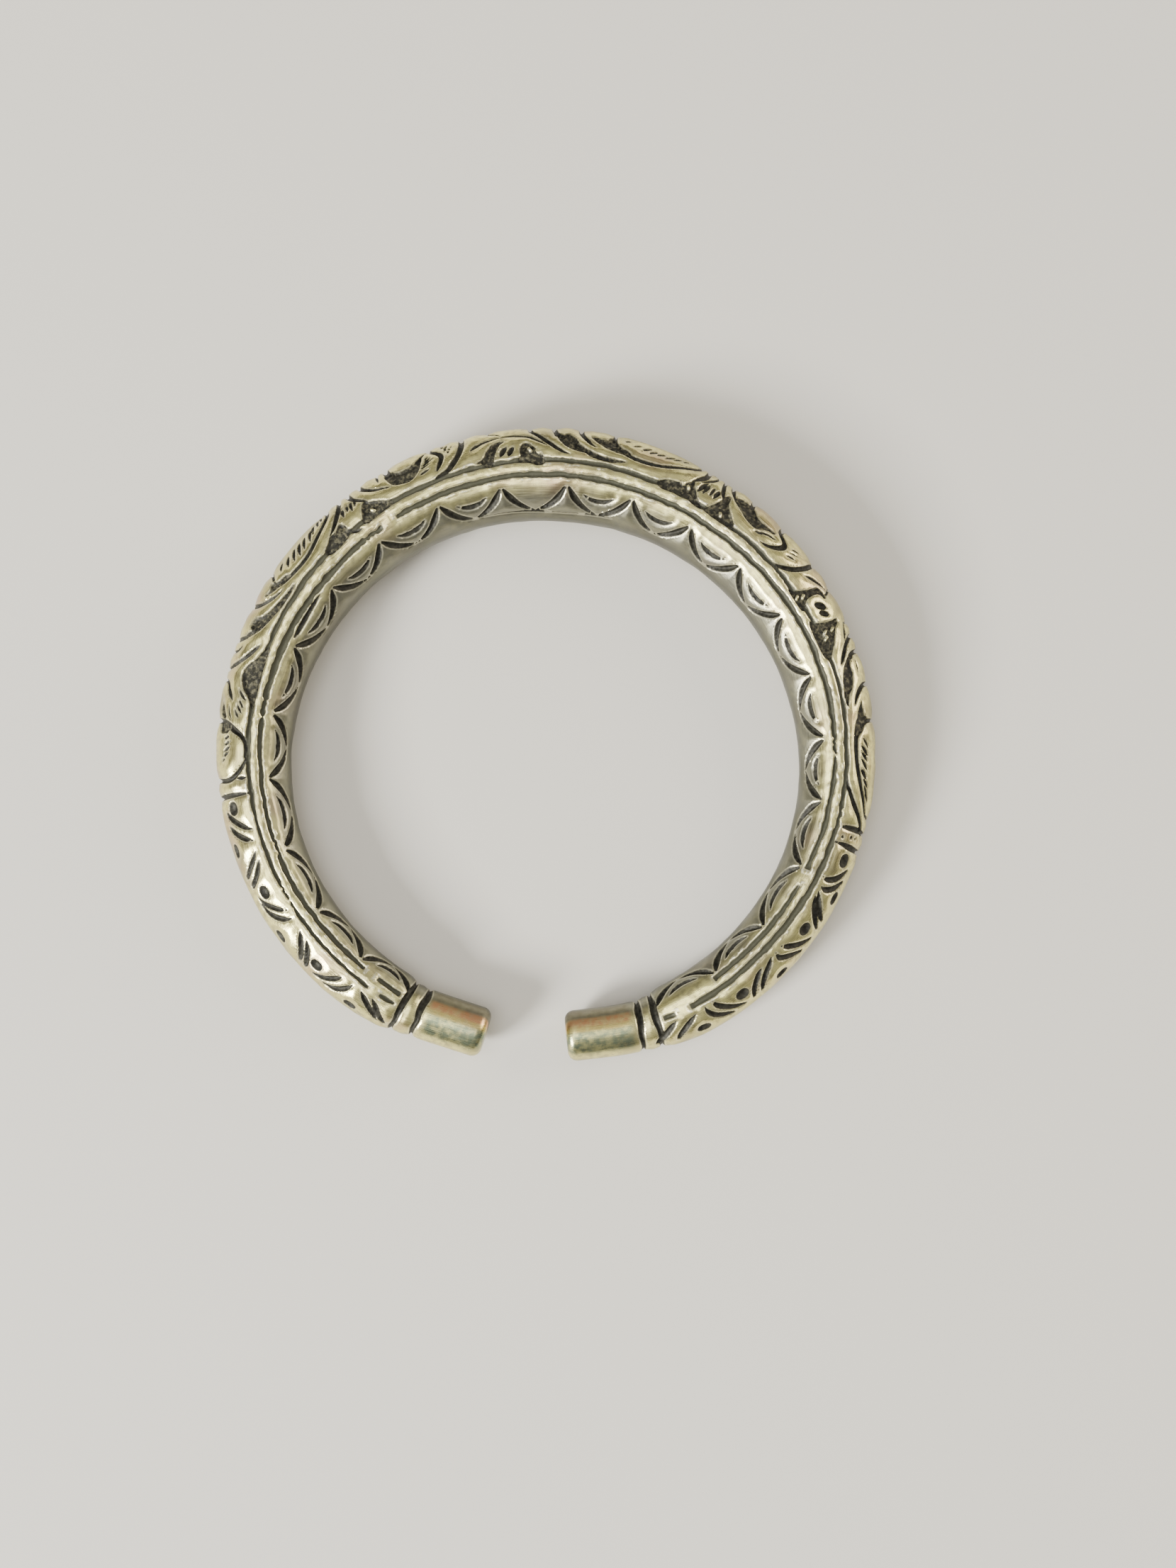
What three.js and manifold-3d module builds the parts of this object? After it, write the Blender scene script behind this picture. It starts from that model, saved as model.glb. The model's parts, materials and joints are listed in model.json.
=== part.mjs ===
// Open kada: one round silver bar, thick at the back, bent to a ring and carved all round.
// The ring lies flat on z = 0 with its mouth towards -Y. Millimetres and degrees throughout.
// "angle" runs round the ring from the back (+Y), clockwise seen from above.
// "around" runs round the bar from the outer side (0) over the top (90) to the inner side (180).
import * as THREE from "three";
import { mergeVertices } from "three/addons/utils/BufferGeometryUtils.js";
import Module from "manifold-3d";

// Taper of one half of the bar: ring is the radius of the bar's centre line, bar the bar's own radius
const TAPER = [
  { angle: 0, ring: 34.4, bar: 5.43 },
  { angle: 30, ring: 34.55, bar: 5.15 },
  { angle: 60, ring: 34.68, bar: 4.8 },
  { angle: 90, ring: 34.75, bar: 4.33 },
  { angle: 110, ring: 34.55, bar: 4.05 },
  { angle: 130, ring: 34.2, bar: 3.86 },
  { angle: 146, ring: 33.85, bar: 3.66 },
  { angle: 152.5, ring: 33.6, bar: 3.4 },
];
// Collar and plain end, measured along the bar from the end of the carved band
const END_ROWS = [
  { along: 0.35, bar: 3.3 },
  { along: 0.7, bar: 2.8 },
  { along: 1.05, bar: 3.14 },
  { along: 1.9, bar: 3.12 },
  { along: 2.4, bar: 2.62 },
  { along: 2.9, bar: 2.95 },
  { along: 6.4, bar: 2.92 },
  { along: 9.7, bar: 2.9 },
  { along: 10.3, bar: 2.68 },
  { along: 10.6, bar: 2.3 },
  { along: 10.75, bar: 1.8 },
];
// The ends straighten out, the right one later than the left one, and the right one is longer.
// heading is the angle of the ring that the bar's outer side faces there.
const LEFT_END = {
  side: -1,
  longer: 0,
  bends: [
    { along: 0, heading: 154 },
    { along: 2, heading: 163 },
    { along: 5, heading: 165 },
    { along: 12, heading: 166.3 },
  ],
};
const RIGHT_END = {
  side: 1,
  longer: 0.65,
  bends: [
    { along: 0, heading: 155 },
    { along: 2, heading: 161 },
    { along: 4.5, heading: 166 },
    { along: 7, heading: 170 },
    { along: 12, heading: 170.8 },
  ],
};
const COLLAR_LENGTH = 2.9;
const BAND_END = TAPER[TAPER.length - 1].angle;
const BAND_STEPS = 44; // stations along the carved band, two to a scallop
const WORN_FLAT = 0.975; // height of the bar's centre over the floor, as a share of its radius

// Two grooves with a bead between them run along the bar, above and below
const BORDER_GROOVES = [87.5, 106.5];
const GROOVE_HALF = 4.5;
const GROOVE_DEPTH = 0.4;
const GROOVE_END = 148;
const PANEL_COLUMNS = [0, 42];
const PANEL_RISE = 0.15; // the corners stand out, so that the flats keep to the round on average
const INNER_COLUMNS = [132, 156];

// Carving with a gouge
const DEPTH_PER_WIDTH = 0.7;
const DEEPEST = 0.45;
const CUT_CLEAR = 0.18; // the cutter's rim over the surface
const CUT_TOP = 0.7;
const POINT_WIDTH = 0.12;
const GROUND_WIDTH = 1.2; // strokes wider than this have a flat floor

// Scallops on the inner flank, each one arched cut
const SCALLOPS = 22;
const SCALLOP_ARCH = [
  { across: 0, around: 119, width: 0.35 },
  { across: 0.15, around: 134, width: 0.75 },
  { across: 0.5, around: 153, width: 0.3 },
  { across: 0.85, around: 134, width: 0.75 },
  { across: 1, around: 119, width: 0.35 },
];

// End panels: pits under arches of paired strokes, with smaller pits near the outer side
const PITS = [-135.8, -119.1, -102.7, 105.8, 120, 136.7];
const FIRST_PIT = 110; // the first pit of each panel is nearer the back than this
const PIT_AROUND = 58;
const LOW_PIT_AROUND = 38;
const PIT_SPACING = 16.4;
const PIT_RADIUS = 0.85;
const PIT_PROUD = 0.4; // the punch's centre over the surface
const PIT_SIDES = 6;
const PIT_RINGS = 4;
const ARCH_TOP = 77;
const ARCH_FOOT = 34;
const ARCH_STROKES = [
  { top: -7.7, foot: -3.5 },
  { top: -5.8, foot: -1.8 },
  { top: 4.9, foot: 1.1 },
  { top: 6.8, foot: 3.3 },
];
const ARCH_WIDTH = 0.62;
const DIVIDERS = [-100.2, 99.8, 103];
const DIVIDER_CUT = [
  { around: 80, width: 0.2 },
  { around: 42, width: 0.55 },
  { around: 0, width: 0.55 },
];

// Back panel: a running vine, one length of it charted from the middle of a leaf.
// The lower side repeats it upside down, half a length further on.
const VINE_LENGTH = 70;
const LEAVES = [-124.8, -54.8, 15.2, 85.2];
const VINE_START = -84.5;
const VINE_END = 96.5;
// Each cut is rows of [angle past the leaf, around, width]
const VINE = {
  leafArch: [[-3, 62, 0.5], [1, 66, 0.6], [7, 47, 0.6], [10, 0, 0.5]],
  leafHollow: [[-8.6, 41, 0.4], [-6.4, 49, 1.5], [-2.6, 61, 0.6]],
  leafFoot: [[-5.7, 44, 0.3], [-5.1, 24, 0.5], [-4.8, 0, 0.5]],
  leftCorner: [[7.2, 87, 4.2], [9.2, 62, 0.3]],
  stemLeft: [[7, 66, 0.2], [11.2, 42, 0.6], [13.1, 0, 0.5]],
  rightCorner: [[17.6, 87, 3.9], [16.3, 62, 0.3]],
  stemRight: [[16.2, 63, 0.3], [14.9, 36, 0.6], [14.7, 0, 0.5]],
  petalHollow: [[22.6, 0, 0.5], [21.6, 40, 1.3], [24.3, 59, 1.7], [29, 36, 0.3]],
  petalEdge: [[28.2, 73, 0.2], [31, 48, 0.75], [29.7, 0, 0.6]],
  greatCurve: [[29.8, 85, 0.3], [34.4, 69, 0.7], [36.2, 36, 0.8], [36.4, 0, 0.7]],
  budCorner: [[39.4, 87, 2], [42, 50, 0.3]],
  vineCorner: [[48.9, 87, 4.5], [46.6, 52, 0.3]],
  vineEdge: [[54.5, 70, 0.2], [50.3, 42, 0.6], [48.2, 0, 0.5]],
  vineHollow: [[52, 0, 0.5], [54.6, 40, 1.6], [57.5, 62, 1.7], [64, 76, 0.3]],
  vineLine: [[62.4, 61, 0.2], [59.4, 38, 0.6], [57.8, 0, 0.6]],
};
// The last leaf of the panel has no vine after it
const LAST_LEAF_CUTS = ["leafArch", "leafHollow", "leafFoot"];
// The first leaf stands by itself, and one stroke closes the panel: rows of [angle, around, width]
const PANEL_END_CUTS = [
  [[-97, 0, 0.6], [-97.5, 45, 0.65], [-96.2, 72, 0.6], [-93.6, 85, 0.3]],
  [[-93.4, 83, 0.3], [-90.6, 83, 0.6], [-88.2, 63, 0.75], [-86.7, 35, 1.1], [-86.3, 0, 0.6]],
  [[90.3, 79, 0.2], [94, 69, 0.6], [98.6, 41, 0.6], [100.6, 29, 0.2]],
];

const MERGE = 1e-5; // vertices closer than this are one
const wasm = await Module();
wasm.setup();
const turn = THREE.MathUtils.degToRad;

// Value of a table's column where its key has the given value, in a straight line between the rows
function between(rows, key, value, column) {
  const next = Math.max(1, rows.findIndex((row) => row[key] >= value));
  const [a, b] = [rows[next - 1], rows[next]];
  return THREE.MathUtils.mapLinear(value, a[key], b[key], a[column], b[column]);
}

function taper(angle, column) {
  return between(TAPER, "angle", Math.min(Math.abs(angle), BAND_END), column);
}

function outward(angle) {
  return new THREE.Vector3(Math.sin(turn(angle)), Math.cos(turn(angle)), 0);
}

// Centre, outward direction and radius of the bar at an angle of the carved band
function bandStation(angle) {
  const out = outward(angle);
  const bar = taper(angle, "bar");
  const centre = out.clone().multiplyScalar(taper(angle, "ring")).setZ(bar * WORN_FLAT);
  return { angle, out, centre, bar };
}

// Stations on the collar and plain end of one side, each a step on from the one before
function endStations({ side, longer, bends }) {
  let { centre } = bandStation(side * BAND_END);
  let before = 0;
  return END_ROWS.map((row) => {
    const along = row.along > COLLAR_LENGTH ? row.along + longer : row.along;
    const heading = (at) => side * between(bends, "along", at, "heading");
    const ahead = outward(heading((before + along) / 2) + side * 90);
    centre = centre.clone().addScaledVector(ahead, along - before);
    before = along;
    return { angle: side * 180, out: outward(heading(along)), centre, bar: row.bar };
  });
}

function stationPoint(station, around, rise) {
  const reach = station.bar + rise;
  return station.out
    .clone()
    .multiplyScalar(reach * Math.cos(turn(around)))
    .add(station.centre)
    .add(new THREE.Vector3(0, 0, reach * Math.sin(turn(around))));
}

function surfacePoint(angle, around, rise = 0) {
  return stationPoint(bandStation(angle), around, rise);
}

// Section angles of the bar's columns, once round, with an edge, a floor and an edge for each groove
function columnAngles() {
  const grooves = BORDER_GROOVES.flatMap((at) => [at - GROOVE_HALF, at, at + GROOVE_HALF]);
  const upper = [...PANEL_COLUMNS, ...grooves, ...INNER_COLUMNS];
  const lower = upper.slice(1).reverse().map((around) => 360 - around);
  return [...upper, 180, ...lower];
}

// Height of a column's corners over the round bar
function columnRise(angle, around) {
  if (Math.abs(angle) > BAND_END) return 0;
  const folded = Math.min(around, 360 - around);
  if (PANEL_COLUMNS.includes(folded)) return PANEL_RISE;
  const isFloor = BORDER_GROOVES.includes(folded) && Math.abs(angle) < GROOVE_END;
  return isFloor ? -GROOVE_DEPTH : 0;
}

// A cylinder of many rows, each vertex moved to place(row, column, fromAxis), closed and merged
function mappedCylinder(rows, columns, place) {
  const geometry = new THREE.CylinderGeometry(1, 1, rows, columns, rows);
  const at = geometry.attributes.position;
  for (let i = 0; i < at.count; i++) {
    const row = Math.round(rows / 2 - at.getY(i));
    const share = Math.atan2(at.getX(i), at.getZ(i)) / (2 * Math.PI);
    const column = (Math.round(share * columns) + columns) % columns;
    const point = place(row, column, Math.round(Math.hypot(at.getX(i), at.getZ(i))));
    at.setXYZ(i, point.x, point.y, point.z);
  }
  return closedShape(geometry);
}

function toSolid(geometry) {
  const vertProperties = geometry.attributes.position.array;
  const triVerts = new Uint32Array(geometry.index.array);
  return new wasm.Manifold(new wasm.Mesh({ numProp: 3, vertProperties, triVerts }));
}

// Only the positions of a three.js shape, with the doubled vertices merged
function closedShape(geometry) {
  geometry.deleteAttribute("normal");
  geometry.deleteAttribute("uv");
  return mergeVertices(geometry, MERGE);
}

// The bar with its taper, border grooves, collars and plain ends, worn flat where it lies
function barSolid() {
  const band = Array.from({ length: BAND_STEPS + 1 }, (_, i) =>
    bandStation(BAND_END * ((2 * i) / BAND_STEPS - 1)),
  );
  const stations = [...endStations(LEFT_END).reverse(), ...band, ...endStations(RIGHT_END)].reverse();
  const columns = columnAngles();
  const geometry = mappedCylinder(stations.length - 1, columns.length, (row, column, fromAxis) => {
    const station = stations[row];
    if (!fromAxis) return station.centre;
    const around = columns[column];
    const point = stationPoint(station, around, columnRise(station.angle, around));
    return point.setZ(Math.max(point.z, 0));
  });
  return toSolid(geometry);
}

// A gouge cut along rows of [angle, around, width]: a V, or a flat-floored trench where it is wide
function gougeCut(rows) {
  const flat = rows.some(([, , width]) => width > GROUND_WIDTH);
  const spots = rows.map(([angle, around]) => surfacePoint(angle, around));
  const last = rows.length - 1;
  const geometry = mappedCylinder(last, flat ? 5 : 4, (row, column, fromAxis) => {
    const [angle, around, width] = rows[row];
    const normal = surfacePoint(angle, around, 1).sub(spots[row]);
    const along = spots[Math.min(row + 1, last)].clone().sub(spots[Math.max(row - 1, 0)]).normalize();
    const side = along.cross(normal).normalize();
    const half = Math.max(width, POINT_WIDTH) / 2;
    const depth = Math.min(2 * half * DEPTH_PER_WIDTH, DEEPEST);
    const floor = flat ? Math.max(half - depth, half / 3) : 0;
    const section = [
      [0, CUT_TOP],
      [-half, CUT_CLEAR],
      [-floor, -depth],
      ...(flat ? [[floor, -depth]] : []),
      [half, CUT_CLEAR],
    ];
    const [across, rise] = fromAxis ? section[column] : [0, CUT_CLEAR];
    return spots[row].clone().addScaledVector(side, across).addScaledVector(normal, rise);
  });
  return toSolid(geometry);
}

function pitCut(angle, around) {
  const punch = new THREE.SphereGeometry(PIT_RADIUS, PIT_SIDES, PIT_RINGS);
  const at = surfacePoint(angle, around, PIT_PROUD);
  return toSolid(closedShape(punch.translate(at.x, at.y, at.z)));
}

// The same stroke on the upper and on the lower side of the bar
function bothSides(rows) {
  return [rows, rows.map(([angle, around, width]) => [angle, -around, width])];
}

function scallopStrokes() {
  const pitch = (2 * BAND_END) / SCALLOPS;
  const starts = Array.from({ length: SCALLOPS }, (_, i) => -BAND_END + i * pitch);
  return starts
    .map((start) => SCALLOP_ARCH.map((row) => [start + row.across * pitch, row.around, row.width]))
    .flatMap(bothSides);
}

function vineStrokes() {
  const length = (leaf, names) =>
    names.map((name) => VINE[name].map(([past, ...rest]) => [leaf + past, ...rest]));
  const all = Object.keys(VINE);
  const upper = LEAVES.flatMap((leaf, i) => length(leaf, i < LEAVES.length - 1 ? all : LAST_LEAF_CUTS));
  const lower = LEAVES.flatMap((leaf) => length(leaf - VINE_LENGTH / 2, all))
    .map((rows) => rows.map(([angle, around, width]) => [angle, -around, width]));
  const fits = ([angle]) => angle > VINE_START && angle < VINE_END;
  const vine = [...upper, ...lower].filter((rows) => rows.every(fits));
  return [...vine, ...PANEL_END_CUTS.flatMap(bothSides)];
}

function endPanelStrokes() {
  const dividers = DIVIDERS.map((at) => DIVIDER_CUT.map((row) => [at, row.around, row.width]));
  const arches = PITS.flatMap((pit) => {
    // before the first pit of a panel there are dividers instead
    const strokes = ARCH_STROKES.filter(({ top }) => top > 0 || Math.abs(pit) > FIRST_PIT);
    return strokes.map(({ top, foot }) => [
      [pit + Math.sign(pit) * top, ARCH_TOP, POINT_WIDTH],
      [pit + Math.sign(pit) * foot, ARCH_FOOT, ARCH_WIDTH],
    ]);
  });
  return [...dividers, ...arches].flatMap(bothSides);
}

function pits() {
  const spots = PITS.flatMap((pit) => [
    [pit, PIT_AROUND],
    [pit + (Math.sign(pit) * PIT_SPACING) / 2, LOW_PIT_AROUND],
  ]);
  return spots.flatMap(([pit, around]) => [pitCut(pit, around), pitCut(pit, -around)]);
}

function carvedBar() {
  const strokes = [...scallopStrokes(), ...vineStrokes(), ...endPanelStrokes()];
  const cuts = [...strokes.map(gougeCut), ...pits()];
  return barSolid().subtract(cuts.reduce((all, cut) => all.add(cut)));
}

// Solid to geometry, with the middle of its box over the origin
function toGeometry(solid) {
  const { numProp, vertProperties, triVerts } = solid.getMesh();
  const geometry = new THREE.BufferGeometry()
    .setAttribute("position", new THREE.BufferAttribute(vertProperties, numProp))
    .setIndex(new THREE.BufferAttribute(triVerts, 1));
  geometry.computeBoundingBox();
  const middle = geometry.boundingBox.getCenter(new THREE.Vector3());
  return geometry.translate(-middle.x, -middle.y, 0);
}

const oxidisedSilver = new THREE.MeshStandardMaterial({ color: 0xb9b39c, roughness: 0.34, metalness: 1 });
const kadaBar = new THREE.Mesh(toGeometry(carvedBar()), oxidisedSilver);
kadaBar.name = "kada_bar";

const kada = new THREE.Group();
kada.add(kadaBar);

export default kada;
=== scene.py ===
# Open carved kada of oxidised silver, lying flat on a pale studio floor
import json
import math

import bmesh
import bpy
import numpy as np
from mathutils import Matrix, Vector


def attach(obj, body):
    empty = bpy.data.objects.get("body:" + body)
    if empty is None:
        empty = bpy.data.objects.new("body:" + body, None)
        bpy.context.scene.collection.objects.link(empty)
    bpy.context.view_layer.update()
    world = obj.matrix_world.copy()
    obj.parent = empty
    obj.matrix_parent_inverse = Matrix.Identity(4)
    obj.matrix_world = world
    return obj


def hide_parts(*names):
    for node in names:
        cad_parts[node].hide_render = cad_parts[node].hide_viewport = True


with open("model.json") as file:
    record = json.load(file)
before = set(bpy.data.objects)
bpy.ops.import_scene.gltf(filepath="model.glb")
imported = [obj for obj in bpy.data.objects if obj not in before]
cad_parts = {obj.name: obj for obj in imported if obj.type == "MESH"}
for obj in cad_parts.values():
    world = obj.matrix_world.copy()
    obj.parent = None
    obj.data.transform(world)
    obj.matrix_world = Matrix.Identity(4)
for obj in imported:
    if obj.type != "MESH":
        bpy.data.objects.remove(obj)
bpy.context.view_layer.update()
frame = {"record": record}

mm = 0.001  # the chart below is in degrees and millimetres, Blender works in metres
chartMm = (.6, .09)  # roughly the mm to a degree of the chart, along the bar and around it
ringMiddle = frame["record"]["mounts"][0]["pos_m"][1] / mm  # the ring's centre lies this far along Y
print("frame loaded, ring centre at y =", round(ringMiddle, 3), "mm")


# Small helpers

def ease(value, start, end):  # 0 before start, 1 after end, smooth between
    share = np.clip((value - start) / (end - start), 0.0, 1.0)
    return share * share * (3 - 2 * share)


def unevenness(x, y, seed):  # smooth random lumps between -1 and 1, about one to a unit
    size = 97
    table = np.random.default_rng(seed).uniform(-1, 1, (size, size))
    xi, yi = np.floor(x).astype(int), np.floor(y).astype(int)
    u, v = ease(x - xi, 0, 1), ease(y - yi, 0, 1)
    low = table[xi % size, yi % size] * (1 - u) + table[(xi + 1) % size, yi % size] * u
    high = table[xi % size, (yi + 1) % size] * (1 - u) + table[(xi + 1) % size, (yi + 1) % size] * u
    return low * (1 - v) + high * v


def lumpy(x, y, seed, height, length, width=1, more=0):  # unevenness of a given height and size
    return height * (unevenness(x / length, y / width, seed) + more)


def smoothCurve(before, points, after, step=.35):  # a curve through points of the chart, step in mm
    padded = np.vstack([before, points, after])
    pieces = []
    for a, b, c, d in zip(padded, padded[1:], padded[2:], padded[3:]):
        reach = math.hypot(*((c - b)[:2] * chartMm))
        t = np.linspace(0, 1, max(2, math.ceil(reach / step)) + 1)[:-1, None]
        bend = 2 * a - 5 * b + 4 * c - d
        pieces.append(.5 * (2 * b + (c - a) * t + bend * t**2 + (3 * b - a - 3 * c + d) * t**3))
    return np.vstack(pieces + [padded[-2:-1]])


def smoothPath(rows):  # rows of (angle, around, width) of a stroke
    points = np.array(rows, float)
    path = smoothCurve(2 * points[0] - points[1], points, 2 * points[-1] - points[-2])
    path[:, 2] = np.maximum(path[:, 2], 0)
    return path


def smoothOutline(rows):  # rows of (angle, around) of a closed outline
    points = np.array(rows, float)
    return smoothCurve(points[-1], np.vstack([points, points[:1]]), points[1])


# The bar: a round rod, thickest at the back, bent to an open ring with plain ends.
# "angle" runs round the ring from the back, clockwise seen from above; "around" runs round the rod
# from the outer side (0) over the top (90) to the inner side (180).
rod = {
    "angles": (0, 30, 60, 90, 110, 130, 146, 152.5),
    "ring": (34.52, 34.67, 34.78, 34.83, 34.5, 34.1, 33.72, 33.47),  # radius of the centre line
    "thick": (5.6, 5.32, 4.98, 4.48, 4.15, 3.95, 3.75, 3.47),  # radius of the rod before it is cut
    "endAlong": (0, .6, 1.2, 1.9, 2.7, 3.3, 6.4, 11.5),  # mm past the carved band
    "endThick": (3.47, 3.32, 3.2, 3.14, 3.04, 3, 2.98, 2.97),
    # each plain end: its length, and the heading of the bar at some places along it
    "ends": {
        -1: {"length": 10.75, "bendsAt": (0, 2, 5, 12), "headings": (154, 163, 165, 166.3)},
        1: {"length": 11.4, "bendsAt": (0, 2, 4.5, 7, 12), "headings": (155, 161, 166, 170, 170.8)},
    },
    "thickEase": 1.5,  # degrees over which the kinks of these tables are eased
    "ringEase": 6,
    "bendFrom": 149,  # up to this angle the bar heads along the ring
    "bendSteps": (0, 12, .05),  # start, end and step in mm of the bent line
    "rim": 1.1,  # rounding of the ends
    "degree": .6,  # mm along the plain end that count as one degree of the chart
    "wornFlat": .975,  # height of the centre over the floor, as a share of the radius
    # start, end and number of rows along the bar: finest on the vine
    "rowZones": ((-152.5, -99, 120), (-99, 99, 590), (99, 152.5, 120)),
    "collarRows": (.2, 3.5, .2),  # start, end and step in mm of the rows on the collars
    "plainRows": (3.8, 9),  # start and number of the rows beyond them
    "rimRows": 8,
    "faceRows": (1.6, 2.1, 2.5),  # mm that the rows on the end's face lie in from its side
    # start, end and number of columns round the rod: fine on top, coarse below
    "columnZones": ((-172, -112, 12), (-112, -84, 5), (-84, -30, 8), (-30, 0, 6), (0, 30, 9), (30, 84, 32),
        (84, 114, 17), (114, 172, 19), (172, 188, 2)),
}
bandEnd = rod["angles"][-1]


def endRows(end):  # chart angle of each row on a plain end, and how far the rounded rim draws it in
    rim, face = rod["rim"], rod["faceRows"]
    straight = end["length"] - rim
    first, count = rod["plainRows"]
    ahead = np.concatenate([np.arange(*rod["collarRows"]), np.linspace(first, straight, count)])
    turn = np.radians(np.linspace(0, 90, rod["rimRows"])[1:])
    along = np.concatenate([ahead, straight + rim * np.sin(turn), np.full(len(face), end["length"])])
    drawnIn = np.concatenate([0 * ahead, rim * (1 - np.cos(turn)), face])
    return bandEnd + along / rod["degree"], drawnIn


def zoned(zones):  # places along or around the rod
    return np.concatenate([np.linspace(a, b, n, endpoint=False) for a, b, n in zones])


def rodRows():  # chart angle of every row of the bar, and how far it is drawn in
    (left, leftRim), (right, rightRim) = (endRows(rod["ends"][side]) for side in (-1, 1))
    band = np.append(zoned(rod["rowZones"]), bandEnd)
    angles = np.concatenate([-left[::-1], band, right])
    return angles, np.concatenate([leftRim[::-1], 0 * band, rightRim])


def easedTable(values, knots, spread, step=.25):  # a column of the taper, without kinks
    fine = np.arange(0, 180, step)
    width = int(spread / step)
    kernel = np.hanning(2 * width + 3)[1:-1]
    line = np.interp(fine, knots, values)
    padded = np.concatenate([line[width:0:-1], line, np.full(width, line[-1])])
    return fine, np.convolve(padded, kernel / kernel.sum(), "valid")


def pastBand(along):  # chart angles of places on a plain end
    return [bandEnd + mmAlong / rod["degree"] for mmAlong in along]


thickTable = easedTable(rod["thick"] + rod["endThick"][1:],
                        list(rod["angles"]) + pastBand(rod["endAlong"][1:]), rod["thickEase"])
ringTable = easedTable(rod["ring"], rod["angles"], rod["ringEase"])


def rodThick(angle):
    return np.interp(np.abs(angle), *thickTable)


def chartScale(angle, around):  # mm to a degree of the chart, along and around
    thick = rodThick(angle)
    onBand = np.radians(np.interp(np.abs(angle), *ringTable) + thick * np.cos(np.radians(around)))
    return np.where(np.abs(angle) < bandEnd, onBand, rod["degree"]), np.radians(thick)


def centreLine(far, end):  # x, y and heading of the bar's middle, for angles on one side
    ring = np.interp(np.minimum(far, bandEnd), *ringTable)
    held = np.radians(np.minimum(far, bandEnd))
    steps = np.arange(*rod["bendSteps"])
    step, bendFrom = rod["bendSteps"][2], rod["bendFrom"]
    heading = np.radians(np.interp(steps, end["bendsAt"], end["headings"]))
    beyond = np.maximum(far - bandEnd, 0) * rod["degree"]
    x = ring * np.sin(held) + np.interp(beyond, steps, np.cumsum(np.cos(heading)) * step)
    y = ring * np.cos(held) - np.interp(beyond, steps, np.cumsum(np.sin(heading)) * step)
    turns = np.interp(far, [0, bendFrom] + pastBand(end["bendsAt"]), (0, bendFrom) + end["headings"])
    return x, y, np.radians(turns)


def placeOnRod(angle, around, rise):  # chart place and height over the rod to a point in mm
    left, right = (centreLine(np.abs(angle), rod["ends"][side]) for side in (-1, 1))
    x, y, heading = (np.where(angle < 0, a, b) for a, b in zip(left, right))
    side = np.sign(angle)
    reach = rodThick(angle) + rise
    out = reach * np.cos(np.radians(around))
    middle = rod["wornFlat"] * rodThick(np.minimum(np.abs(angle), bandEnd))
    height = np.maximum(middle + reach * np.sin(np.radians(around)), 0)
    px = side * x + out * np.sin(heading) * side
    py = y + out * np.cos(heading) + ringMiddle
    return np.stack([px, py, height], axis=-1)


# The vine on the back, charted from the left end of its panel to the right.
# Strokes are rows of (angle, around, width in mm), ground is a closed outline of (angle, around), and
# a vein is a short cut from one place to another: (angle, around, angle, around, width).
vineStart = {
    "strokes": {
        "leafLeft": ((-93.6, 86, .25), (-94.9, 81, .5), (-96.2, 72, .6), (-97.2, 60, .65), (-97.5, 47, .65),
            (-97.3, 30, .6), (-97, 0, .6)),
        "leafRight": ((-93.4, 83, .3), (-92.2, 85.5, .5), (-90.6, 84, .55), (-89.2, 76, .65),
            (-88.2, 63, .75), (-87.2, 50, .7), (-86.7, 35, .65), (-86.3, 0, .6)),
        "budLine": ((-86.4, 57, .15), (-85.5, 51, .3), (-84.6, 48, .3), (-83.9, 46, .1)),
        "softGroove": ((-83, 53, .1), (-82, 46, .6), (-80.9, 38, .7), (-79.7, 30, .5), (-79, 0, .4)),
        "vineEdge": ((-71.7, 75, .1), (-72.6, 71, .45), (-74, 63, .6), (-75.4, 52, .6), (-76.5, 38, .6),
            (-77.2, 20, .55), (-77.4, 0, .5)),
        "spur": ((-72.9, 42, .1), (-73.6, 38, .4), (-74.2, 28, .4), (-74.3, 0, .35)),
        "hollowTail": ((-71.2, 46, .5), (-71.9, 30, .65), (-72.2, 0, .6)),
    },
    "ground": {
        "leafFoot": ((-88.7, 52), (-87.6, 56), (-87, 45), (-86.9, 33), (-87.6, 28), (-88.8, 32),
            (-88.9, 44)),
        "lowHollow": ((-86.2, 44), (-85, 38), (-83.8, 31), (-83, 23), (-84.6, 24), (-85.8, 30)),
        "vineCorner": ((-83.6, 91), (-82, 80), (-80.6, 69), (-79.2, 63), (-78, 60.5), (-76.6, 63.5),
            (-75.6, 70), (-74.6, 77), (-72.6, 84), (-72.3, 91)),
        "vineHollow": ((-58.8, 76), (-60, 78.5), (-62, 79.6), (-64, 78), (-66, 74.5), (-68, 69),
            (-69.5, 63), (-70.7, 54), (-71.6, 42), (-70.7, 40), (-69.9, 50), (-69.4, 43), (-68.6, 41),
            (-67.6, 46), (-67.1, 55), (-65.9, 63), (-64.4, 68), (-62.6, 72), (-60.6, 75)),
    },
    "veins": ((-92.4, 54, -93.2, 42, .4), (-91.3, 57, -92.2, 43, .4), (-90.4, 58, -91.1, 44, .4),
        (-89.5, 55, -90, 44, .4), (-93.4, 46, -93.9, 38, .35), (-86, 69, -84.4, 60, .34),
        (-85.2, 73, -83.4, 62, .34), (-84.2, 75, -82.6, 65, .32), (-82.7, 77, -80.6, 61, .36)),
}
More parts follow.
